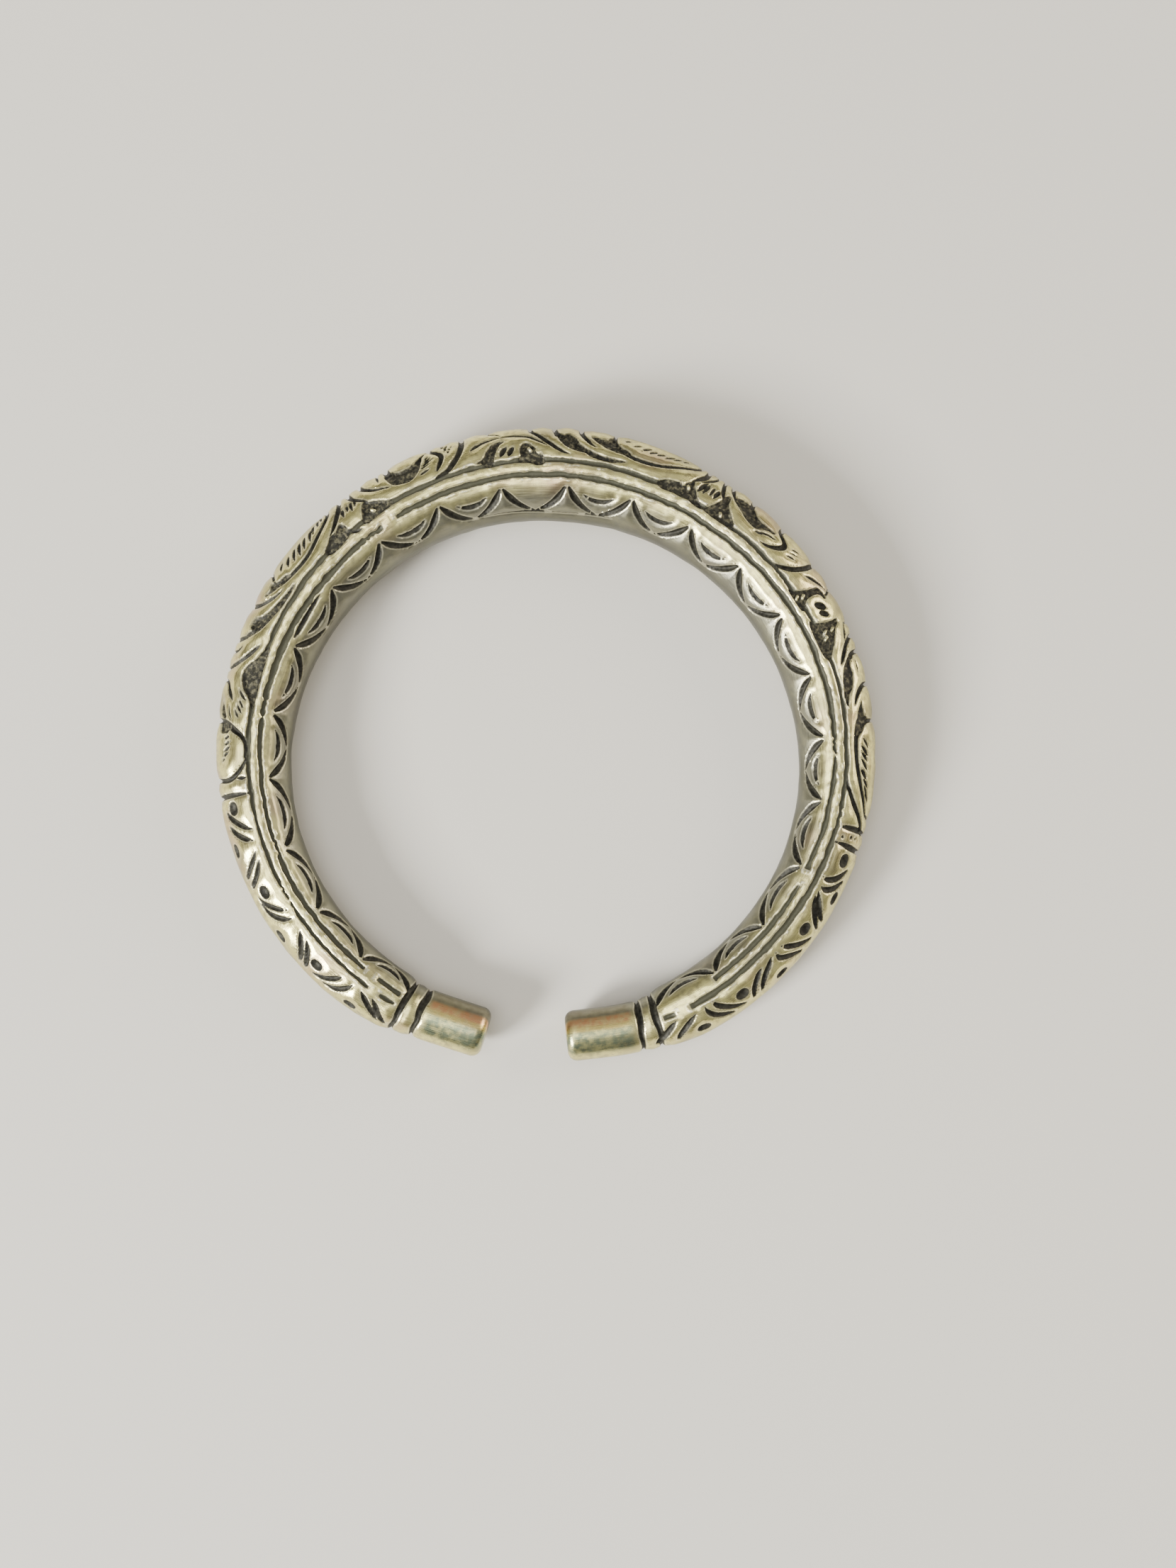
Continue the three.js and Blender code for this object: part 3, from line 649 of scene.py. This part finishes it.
class Carving:  # what the gouge leaves at each place of the chart
    def __init__(self, angle, around, rowAngles, columnArounds):
        self.angle, self.around = angle, around
        self.rowAngles, self.columnArounds = rowAngles, columnArounds
        self.perAngle, self.perAround = chartScale(angle, around)
        self.inside = np.full(angle.shape, -2.0)  # mm inside the nearest rim, negative outside
        # "ground" is 1 on stippled ground and -1 in the border
        self.depth, self.ground, self.burr = np.zeros((3, *angle.shape))
        self.rimAngle, self.rimAround = np.ones((2, *angle.shape))  # way from the place to the rim, mm

    def keep(self, where, inside, depth, ground, rimAngle, rimAround):
        nearer = inside > self.inside[where]
        for name, value in (("rimAngle", rimAngle), ("rimAround", rimAround), ("inside", inside)):
            kept = getattr(self, name)
            kept[where] = np.where(nearer, value, kept[where])
        self.ground[where] = np.where(depth > self.depth[where], ground, self.ground[where])
        self.depth[where] = np.maximum(self.depth[where], depth)

    def nearest(self, line):  # the window of the chart round a line, and the ways to each of its pieces
        margin = cut["margin"] + (line[:, 2].max() / 2 if line.shape[1] > 2 else 0)
        wide, tall = (margin / least for least in cut["leastMm"])
        low, high = line.min(axis=0), line.max(axis=0)
        rows = np.searchsorted(self.rowAngles, (low[0] - wide, high[0] + wide))
        columns = np.searchsorted(self.columnArounds, (low[1] - tall, high[1] + tall))
        where = (slice(*rows), slice(*columns))
        x = (line[:, 0] - self.angle[where][..., None]) * self.perAngle[where][..., None]
        y = (line[:, 1] - self.around[where][..., None]) * self.perAround[where][..., None]
        ax, ay, sx, sy = x[..., :-1], y[..., :-1], np.diff(x, axis=-1), np.diff(y, axis=-1)
        t = np.clip(-(ax * sx + ay * sy) / (sx**2 + sy**2 + tiny**2), 0, 1)
        return where, t, ax + t * sx, ay + t * sy, x, y

    def cutStroke(self, path):
        where, t, cx, cy, _, _ = self.nearest(path)
        if not t.size:
            return
        half = (path[:-1, 2] + t * np.diff(path[:, 2])) / 2
        inside = half - np.hypot(cx, cy)
        best = np.argmax(inside, axis=-1)[..., None]
        half, inside, cx, cy = (np.take_along_axis(a, best, -1)[..., 0] for a in (half, inside, cx, cy))
        share = np.clip(inside / np.maximum(half, cut["hairline"]), 0, 1)
        depth = np.minimum(cut["depthShare"] * 2 * half, cut["deepest"]) * (2 * share - share**2)
        way = np.where(half < cut["thin"], 1, -inside / np.maximum(half - inside, tiny))
        self.keep(where, inside, depth, 0.0, way * cx, way * cy)

    def cutGround(self, outline):
        where, _, cx, cy, x, y = self.nearest(outline)
        best = np.argmin(np.hypot(cx, cy), axis=-1)[..., None]
        cx, cy = (np.take_along_axis(a, best, -1)[..., 0] for a in (cx, cy))
        up, rise = y > 0, np.diff(y, axis=-1)
        meets = x[..., :-1] - y[..., :-1] * np.diff(x, axis=-1) / np.where(rise == 0, 1, rise)
        crossings = ((up[..., :-1] != up[..., 1:]) & (meets > 0)).sum(axis=-1)
        side, away = np.where(crossings % 2 == 1, 1, -1), np.hypot(cx, cy)
        inside = side * away + cut["groundGrow"]
        depth = cut["groundDepth"] * ease(inside, cut["lip"], cut["groundWall"])
        way = side * inside / np.maximum(away, tiny)
        self.keep(where, inside, depth, 1.0, way * cx, way * cy)

    def leaveFlake(self, path):
        where, _, cx, cy, _, _ = self.nearest(path)
        inside = np.max(flakes["width"] / 2 - np.hypot(cx, cy), axis=-1)
        self.depth[where] *= 1 - ease(inside, *flakes["slope"])
        self.inside[where] = np.minimum(self.inside[where], -inside)

    def cutBorder(self):
        along, both = self.angle * chartMm[0], 0 * self.angle
        fade, (burrAt, burrWide) = border["chatterFade"], border["burrAt"]
        for side in (-1, 1):
            for number, groove in enumerate(border["grooves"]):
                seed = border["seed"] + 10 * number + side
                middle = side * np.interp(self.angle, groove["angles"], groove["around"])
                middle = middle + lumpy(along, both, seed, *border["wander"])
                edge = np.sign(self.around - middle) * border["edgeApart"]
                half = np.interp(self.angle, groove["angles"], groove["half"])
                half = half + lumpy(along, both, seed + 2, *border["swell"])
                half += lumpy(along, edge, seed + 4, *border["ragged"])
                half += lumpy(along, edge, seed + 5, *border["fineRagged"])
                for a, b in groove["rough"]:
                    chatter = ease(self.angle, a, a + fade) * (1 - ease(self.angle, b - fade, b))
                    half -= chatter * np.maximum(0, lumpy(along, edge, seed + 6, *border["chatter"]))
                toAround = (middle - self.around) * self.perAround
                inside = half - np.abs(toAround)
                ends = [np.minimum(self.angle - a, b - self.angle) * self.perAngle * border["runOut"]
                        for a, b in groove["runs"]]
                inside = np.minimum(inside, np.max(ends, axis=0))
                share = np.clip(inside / np.maximum(half, border["hairline"]), 0, 1)
                beads = np.maximum(0, lumpy(along, edge, seed + 7, *border["burr"]))
                self.burr = np.maximum(self.burr, beads * np.exp(-((inside - burrAt) / burrWide) ** 2))
                rim = toAround - np.sign(toAround) * half
                self.keep(..., inside, border["depth"] * (2 * share - share**2), -1.0, 0.0, rim)


def carve(angle, around, cuts, rowAngles, columnArounds):
    carving = Carving(angle, around, rowAngles, columnArounds)
    for kind, rows in cuts:
        if kind == "stroke":
            carving.cutStroke(smoothPath(rows))
        else:
            carving.cutGround(smoothOutline(rows))
    carving.cutBorder()
    along, across = flakes["reach"]
    for a, b in flakes["places"]:
        rows = [(a - along, b - across, flakes["width"]), (a + along, b + across, flakes["width"])]
        carving.leaveFlake(smoothPath(toRims(rows)))
    return carving


# Dents of wear on the whole band, and stipple on the ground
wear = {
    "degree": (.6, .08),  # mm to a degree of the chart, for these lumps
    # seed, height, length and width in mm
    "dents": ((61, .035, 2.6, 2.2), (62, .02, 1.1, .9)),
    "stipple": ((63, .05, .42, .42), (64, .03, .25, .3)),
    "until": (4, 6),  # degrees past the band where carving and wear fade out
    "shifted": (55, 84, 116, 150),  # the columns between these lean with the border
}


def borderShift(angle):  # how far the border lies further in than at the back
    shifts = [np.interp(angle, groove["angles"], groove["around"]) for groove in border["grooves"]]
    return (shifts[0] + shifts[1]) / 2 - border["bead"]


def snapToCuts(carving, angle, around, cellAngle, cellAround):  # vertices beside a rim move onto it
    near = np.abs(carving.rimAngle) < cut["snap"] * cellAngle
    near &= np.abs(carving.rimAround) < cut["snap"] * cellAround
    near &= np.abs(angle) < bandEnd + wear["until"][1]
    return (angle + np.where(near, carving.rimAngle / carving.perAngle, 0),
            around + np.where(near, carving.rimAround / carving.perAround, 0))


def carvedSurface(rowAngles, drawnIn, columnArounds):
    angle, around = np.meshgrid(rowAngles, columnArounds, indexing="ij")
    a, b, c, d = wear["shifted"]
    window = ease(np.abs(around), a, b) * (1 - ease(np.abs(around), c, d))
    around = around + np.sign(around) * window * borderShift(angle)
    cuts = allCuts()
    first = carve(angle, around, cuts, rowAngles, columnArounds)
    cellAngle = np.gradient(rowAngles)[:, None] * first.perAngle
    cellAround = np.gradient(around, axis=1) * first.perAround
    angle, around = snapToCuts(first, angle, around, cellAngle, cellAround)
    carving = carve(angle, around, cuts, rowAngles, columnArounds)
    x, y = angle * wear["degree"][0], around * wear["degree"][1]
    roll = cut["roll"] * np.exp(-(np.minimum(carving.inside, 0) / cut["rollReach"]) ** 2)
    dents, stipple = (sum(lumpy(x, y, *setting) for setting in wear[name]) for name in ("dents", "stipple"))
    stipple = np.maximum(carving.ground, 0) * stipple
    onBand = 1 - ease(np.abs(angle) - bandEnd, *wear["until"])
    rise = (dents + stipple + carving.burr - carving.depth - roll) * onBand - drawnIn[:, None]
    return placeOnRod(angle, around, rise), carving


def rolledGrid(rows, columns):  # a flat grid, ready to be rolled up into the rod
    bm = bmesh.new()
    bmesh.ops.create_grid(bm, x_segments=rows - 1, y_segments=columns, size=1)
    mesh = bpy.data.meshes.new("kadaCarved")
    bm.to_mesh(mesh)
    bm.free()
    place = np.empty(len(mesh.vertices) * 3)
    mesh.vertices.foreach_get("co", place)
    x, y, _ = (place.reshape(-1, 3).T + 1) / 2
    return mesh, np.rint(x * (rows - 1)).astype(int), np.rint(y * columns).astype(int) % columns


seamWidth = 1e-4  # mm, the two sides of the seam inside the ring become one


def makeKada():
    rowAngles, drawnIn = rodRows()
    columnArounds = zoned(rod["columnZones"])
    points, carving = carvedSurface(rowAngles, drawnIn, columnArounds)
    mesh, row, column = rolledGrid(len(rowAngles), len(columnArounds))
    print("bar rolled up:", len(rowAngles), "rows of", len(columnArounds))
    mesh.vertices.foreach_set("co", (points[row, column] * mm).ravel())
    around = np.radians(carving.around)
    for name, field in (("cut", np.clip(carving.inside, -1, 1)), ("ground", carving.ground),
                        ("burr", carving.burr / border["burr"][0]),
                        ("along", carving.angle * rod["degree"]),
                        ("up", np.sin(around)), ("out", np.cos(around))):
        mesh.attributes.new(name, "FLOAT", "POINT").data.foreach_set("value", field[row, column].ravel())
    bm = bmesh.new()
    bm.from_mesh(mesh)
    bmesh.ops.remove_doubles(bm, verts=bm.verts[:], dist=seamWidth * mm)
    rims = [edge for edge in bm.edges if edge.is_boundary]
    bmesh.ops.holes_fill(bm, edges=rims, sides=0)
    bmesh.ops.triangulate(bm, faces=bm.faces[:], quad_method="SHORT_EDGE", ngon_method="BEAUTY")
    bmesh.ops.recalc_face_normals(bm, faces=bm.faces[:])
    for face in bm.faces:
        face.smooth = True
    bm.to_mesh(mesh)
    print("kada carved:", len(bm.faces), "triangles")
    bm.free()
    kada = bpy.data.objects.new("kadaCarved", mesh)
    bpy.context.scene.collection.objects.link(kada)
    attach(kada, "root")
    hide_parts("kada_bar")
    return kada


# Finishes

def linear(hexColour):  # sRGB hex to the linear colour that the shader takes
    parts = [int(hexColour[i:i + 2], 16) / 255 for i in (1, 3, 5)]
    return [c / 12.92 if c <= .04045 else ((c + .055) / 1.055) ** 2.4 for c in parts] + [1]


def addNode(tree, kind, settings=None, out=0, **sockets):  # adds a node and gives one of its outputs
    node = tree.nodes.new("ShaderNode" + kind)
    for name, value in (settings or {}).items():
        setattr(node, name, value)
    for name, value in sockets.items():
        key = int(name[1:]) if name[0] == "i" and name[1:].isdigit() else name.replace("_", " ")
        if isinstance(value, bpy.types.NodeSocket):
            tree.links.new(value, node.inputs[key])
        else:
            node.inputs[key].default_value = value
    return node.outputs[out] if node.outputs else None


def newMaterial(name):
    material = bpy.data.materials.new(name)
    material.use_nodes = True
    material.node_tree.nodes.clear()
    return material, material.node_tree


# Oxidised silver, cast and cut by hand: grey sulphide stays in the cuts and on the ground, while wear
# brings the high places back to a warm bright metal with fine scratches and a creamy tarnish.
silver = {
    "bright": "#f2e99f",
    "tarnish": "#b1a87c",
    "pink": "#c8a78c",
    # flank and deepFlank are painted shade: the rod greyer and darker towards its silhouettes, where its
    # reflections would be darker
    "flank": "#7b7c76",
    "deepFlank": "#52534c",
    # rim: wear polish with painted highlights beside each cut, and painted glints along the burr
    "rim": "#fbf5d2",
    "sulphide": "#33322a",
    "soot": "#1b1a14",
    "borderFilm": "#48483b",
    "glint": "#6e6a55",
    # painted reflections on the plain ends, as bands of colour at set places round the rod: middle and half
    # width in degrees around, strength, colour
    "endReflections": (
        (72, 44, .95, "#7c8770"),
        (104, 10, .8, "#d9c274"),
        (119, 15, .8, "#dfa272"),
        (148, 24, .6, "#6f6750"),
    ),
    "darkRough": .55,
    "filmGloss": .3,
    # size in mm of the lumps of each noise, and its detail
    "lumps": {
        "tarnish": (5.0, 3),
        "mottle": (.7, 4),
        "blush": (8.0, 2),
        "edge": (.3, 3),
        "soot": (.5, 3),
        "stipple": (.4, 2),
        "scratch": (.1, 3),
    },
    # mm along and across of the polishing scratches; real ones are finer and would not show
    "streak": (2.5, .14),
    "degree": .075,  # mm to a degree around
    # Each field is made from those before it, by a sum or by a step. A step says where it starts and is
    # full, and its least and most if these aren't 0 and 1.
    "fields": (
        ("inward", "ABSOLUTE", "around"),
        # painted shade: darker towards the inner side and the lower outer side of the rod
        ("inner", "LINEAR", "inward", 112, 134, 0, .85),
        ("outer", "LINEAR", "around", 28, -8, 0, .55),
        ("shade", "MAXIMUM", "inner", "outer"),
        ("deep", "LINEAR", "inward", 148, 172, 0, .7),
        ("tarnished", "LINEAR", "tarnish", .45, .7),
        ("mottled", "LINEAR", "mottle", .42, .68, 0, .8),
        ("stain", "MAXIMUM", "tarnished", "mottled"),
        ("blushed", "LINEAR", "blush", .55, .72, 0, .7),
        # wear polish with a painted highlight beside each cut, and painted glint specks along the raised
        # burr
        ("polish", "SMOOTHSTEP", "cut", -.2, -.02, 0, .35),
        ("speck", "LINEAR", "stipple", .46, .54),
        ("raisedBurr", "LINEAR", "burr", .08, .35),
        ("burred", "MULTIPLY", "speck", "raisedBurr"),
        ("edged", "MAXIMUM", "polish", "burred"),
        ("reach", "ABSOLUTE", "along"),
        ("onEnd", "SMOOTHSTEP", "reach", 94.6, 95.6),  # mm along the bar from the back
        ("patches", "LINEAR", "mottle", .36, .6, .5, 1),
        ("endPatches", "MULTIPLY", "patches", "onEnd"),
        ("wobble", "MULTIPLY_ADD", "edge", .07, "cut"),
        ("dark", "SMOOTHSTEP", "wobble", .005, .12),
        ("sooty", "LINEAR", "soot", .4, .62),
        ("paler", "LINEAR", "ground", 0, -1),
        ("sunk", "LINEAR", "ground", 0, 1),
        ("peaks", "LINEAR", "stipple", .48, .74),
        ("glints", "MULTIPLY", "peaks", "sunk"),
        ("worn", "LINEAR", "streaks", .3, .7, .21, .37),
        ("rough", "MULTIPLY_ADD", "shade", .13, "worn"),  # more satin on the flanks
        ("stippled", "MULTIPLY", "stipple", "dark"),
        ("streaked", "MULTIPLY_ADD", "streaks", .16, "stippled"),
        ("height", "MULTIPLY_ADD", "scratch", .14, "streaked"),
        ("metallic", "LINEAR", "dark", 0, 1, 1, .2),  # the film of sulphide is dull
    ),
    # the colour of each coat, and the field that says where it lies
    "metalCoats": (("tarnish", "stain"), ("pink", "blushed"), ("flank", "shade"), ("deepFlank", "deep")),
    "filmCoats": (("soot", "sooty"), ("borderFilm", "paler"), ("glint", "glints")),
    "bump": {"Strength": .5, "Distance": .12 * mm},
}


def oxidisedSilver():
    material, tree = newMaterial("oxidisedSilver")
    place = addNode(tree, "TexCoord", None, "Object")
    field = {name: addNode(tree, "Attribute", {"attribute_name": name}, "Fac")
             for name in ("cut", "ground", "burr", "along", "up", "out")}
    for name, (size, detail) in silver["lumps"].items():
        scale = 1 / (size * mm)
        field[name] = addNode(tree, "TexNoise", None, "Fac", Vector=place, Scale=scale, Detail=detail)
    turn = addNode(tree, "Math", {"operation": "ARCTAN2"}, i0=field["up"], i1=field["out"])
    field["around"] = addNode(tree, "Math", {"operation": "DEGREES"}, i0=turn)
    length, width = silver["streak"]
    perDegree = silver["degree"] / width
    chartX = addNode(tree, "Math", {"operation": "DIVIDE"}, i0=field["along"], i1=length)
    chartY = addNode(tree, "Math", {"operation": "MULTIPLY"}, i0=field["around"], i1=perDegree)
    chart = addNode(tree, "CombineXYZ", X=chartX, Y=chartY)
    field["streaks"] = addNode(tree, "TexNoise", None, "Fac", Vector=chart, Scale=1.0, Detail=2.0)

    # worn metal: cream, stained in patches, greyer and darker on the flanks by painted shade, with painted
    # reflections in bands on
    #     # the plain ends, and brightest beside a cut, where wear polish and painted highlights lie
    steps = list(silver["fields"])
    metalCoats = [(silver[name], share) for name, share in silver["metalCoats"]]
    # painted reflections: bands of colour round the plain ends, broken into patches
    for middle, half, strength, colour in silver["endReflections"]:
        bloom = "bloom" + colour
        steps += [("off", "SUBTRACT", "around", middle), ("away", "ABSOLUTE", "off"),
                  ("band", "SMOOTHSTEP", "away", half, half / 3, 0, strength),
                  (bloom, "MULTIPLY", "band", "endPatches")]
        metalCoats.append((colour, bloom))
    # wear polish with painted highlights and glints, brightest beside a cut
    metalCoats.append((silver["rim"], "edged"))
    for name, operation, *terms in steps:
        stepped = operation in ("LINEAR", "SMOOTHSTEP")
        kind, setting = ("MapRange", "interpolation_type") if stepped else ("Math", "operation")
        sockets = {f"i{number}": field.get(term, term) for number, term in enumerate(terms)}
        field[name] = addNode(tree, kind, {setting: operation}, **sockets)

    # sulphide in the cuts, blackest in patches, with glints where the ground was stippled
    filmCoats = [(silver[name], share) for name, share in silver["filmCoats"]]
    bases = []
    for base, coats in ((silver["bright"], metalCoats), (silver["sulphide"], filmCoats)):
        coated = linear(base)
        for colour, share in coats:
            coated = addNode(tree, "Mix", {"data_type": "RGBA"}, 2, i0=field[share], i6=coated,
                             i7=linear(colour))
        bases.append(coated)
    colour = addNode(tree, "Mix", {"data_type": "RGBA"}, 2, i0=field["dark"], i6=bases[0], i7=bases[1])
    rough = addNode(tree, "Mix", i0=field["dark"], i2=field["rough"], i3=silver["darkRough"])
    bump = addNode(tree, "Bump", Height=field["height"], **silver["bump"])
    metal = addNode(tree, "BsdfPrincipled", Base_Color=colour, Metallic=field["metallic"], Roughness=rough,
                    Specular_IOR_Level=silver["filmGloss"], Normal=bump)
    addNode(tree, "OutputMaterial", Surface=metal)
    return material


# Studio: pale paper floor under a soft dome, bright overhead, with a key light and a weaker one opposite
studio = {
    "floor": "#dad7d0",
    "floorRough": .9,
    "floorSize": 6.0,  # metres
    "sky": "#fffdf8",
    "skyStrength": (.14, .67),  # at the horizon and overhead
    "skyFrom": -.1,  # it starts to rise just under the horizon
    # name, place in metres, size, power in watts, colour
    "lights": (
        ("topLight", (-.3, -.15, 1.2), .7, 6, "#fffdf6"),
        ("keyLight", (-.72, -.55, .5), .28, 23, "#fffdf6"),
        ("sideLight", (.8, .35, .4), .5, 5, "#fff2da"),
    ),
}


def paperFloor():
    material, tree = newMaterial("matteFloorPaper")
    paper = addNode(tree, "BsdfPrincipled", Base_Color=linear(studio["floor"]),
                    Roughness=studio["floorRough"])
    addNode(tree, "OutputMaterial", Surface=paper)
    bm = bmesh.new()
    bmesh.ops.create_grid(bm, x_segments=1, y_segments=1, size=studio["floorSize"] / 2)
    mesh = bpy.data.meshes.new("studioFloor")
    bm.to_mesh(mesh)
    bm.free()
    mesh.materials.append(material)
    floor = bpy.data.objects.new("studioFloor", mesh)
    bpy.context.scene.collection.objects.link(floor)


def lightStudio():
    world = bpy.data.worlds.new("studioWorld")
    world.use_nodes = True
    tree = world.node_tree
    tree.nodes.clear()
    upward = addNode(tree, "TexCoord", None, "Generated")
    height = addNode(tree, "SeparateXYZ", None, "Z", Vector=upward)
    low, high = studio["skyStrength"]
    strength = addNode(tree, "MapRange", {"interpolation_type": "SMOOTHSTEP"}, Value=height,
                       From_Min=studio["skyFrom"], To_Min=low, To_Max=high)
    sky = addNode(tree, "Background", Color=linear(studio["sky"]), Strength=strength)
    addNode(tree, "OutputWorld", Surface=sky)
    bpy.context.scene.world = world
    target = Vector((0, 0, 0))
    for name, place, size, power, colour in studio["lights"]:
        lamp = bpy.data.lights.new(name, "AREA")
        lamp.size = size
        lamp.energy = power
        lamp.color = linear(colour)[:3]
        holder = bpy.data.objects.new(name, lamp)
        holder.location = place
        holder.rotation_euler = (target - Vector(place)).to_track_quat("-Z", "Y").to_euler()
        bpy.context.scene.collection.objects.link(holder)


# Camera: nearly straight down on the ring, leaning a little to the mouth and rolled a little
view = {
    "distance": 230,  # mm from the ring's centre
    "nearest": 10,  # mm at which the camera starts to see
    "height": 4.35,  # mm over the floor that it looks at
    "elevation": 84.5,
    "roll": 3.35,
    "lens": 2720.9,  # focal length in pixels of the picture
    "picture": (1659, 2212),
    "ringAt": (769.7, 1073.0),  # pixel where the ring's centre stands
}


def placeCamera():
    lift, roll = math.radians(view["elevation"]), math.radians(view["roll"])
    back = Vector((0, -math.cos(lift), math.sin(lift)))
    flatRight = Vector((1, 0, 0))
    flatUp = back.cross(flatRight)
    right = math.cos(roll) * flatRight + math.sin(roll) * flatUp
    up = back.cross(right)
    pixel = view["distance"] / view["lens"]  # mm at the ring
    offset = [(at - size / 2) * pixel for at, size in zip(view["ringAt"], view["picture"])]
    ring = Vector((0, ringMiddle, view["height"]))
    place = ring + back * view["distance"] - right * offset[0] + up * offset[1]
    lens = bpy.data.cameras.new("studioCamera")
    lens.sensor_fit = "VERTICAL"
    lens.angle_y = 2 * math.atan(view["picture"][1] / 2 / view["lens"])
    lens.clip_start = view["nearest"] * mm
    camera = bpy.data.objects.new("studioCamera", lens)
    turn = Matrix((right, up, back)).transposed()
    camera.matrix_world = Matrix.Translation(place * mm) @ turn.to_4x4()
    bpy.context.scene.collection.objects.link(camera)
    bpy.context.scene.camera = camera


placeCamera()
lightStudio()
paperFloor()
print("studio ready")
kada = makeKada()
kada.data.materials.append(oxidisedSilver())
print("silver finish laid on")
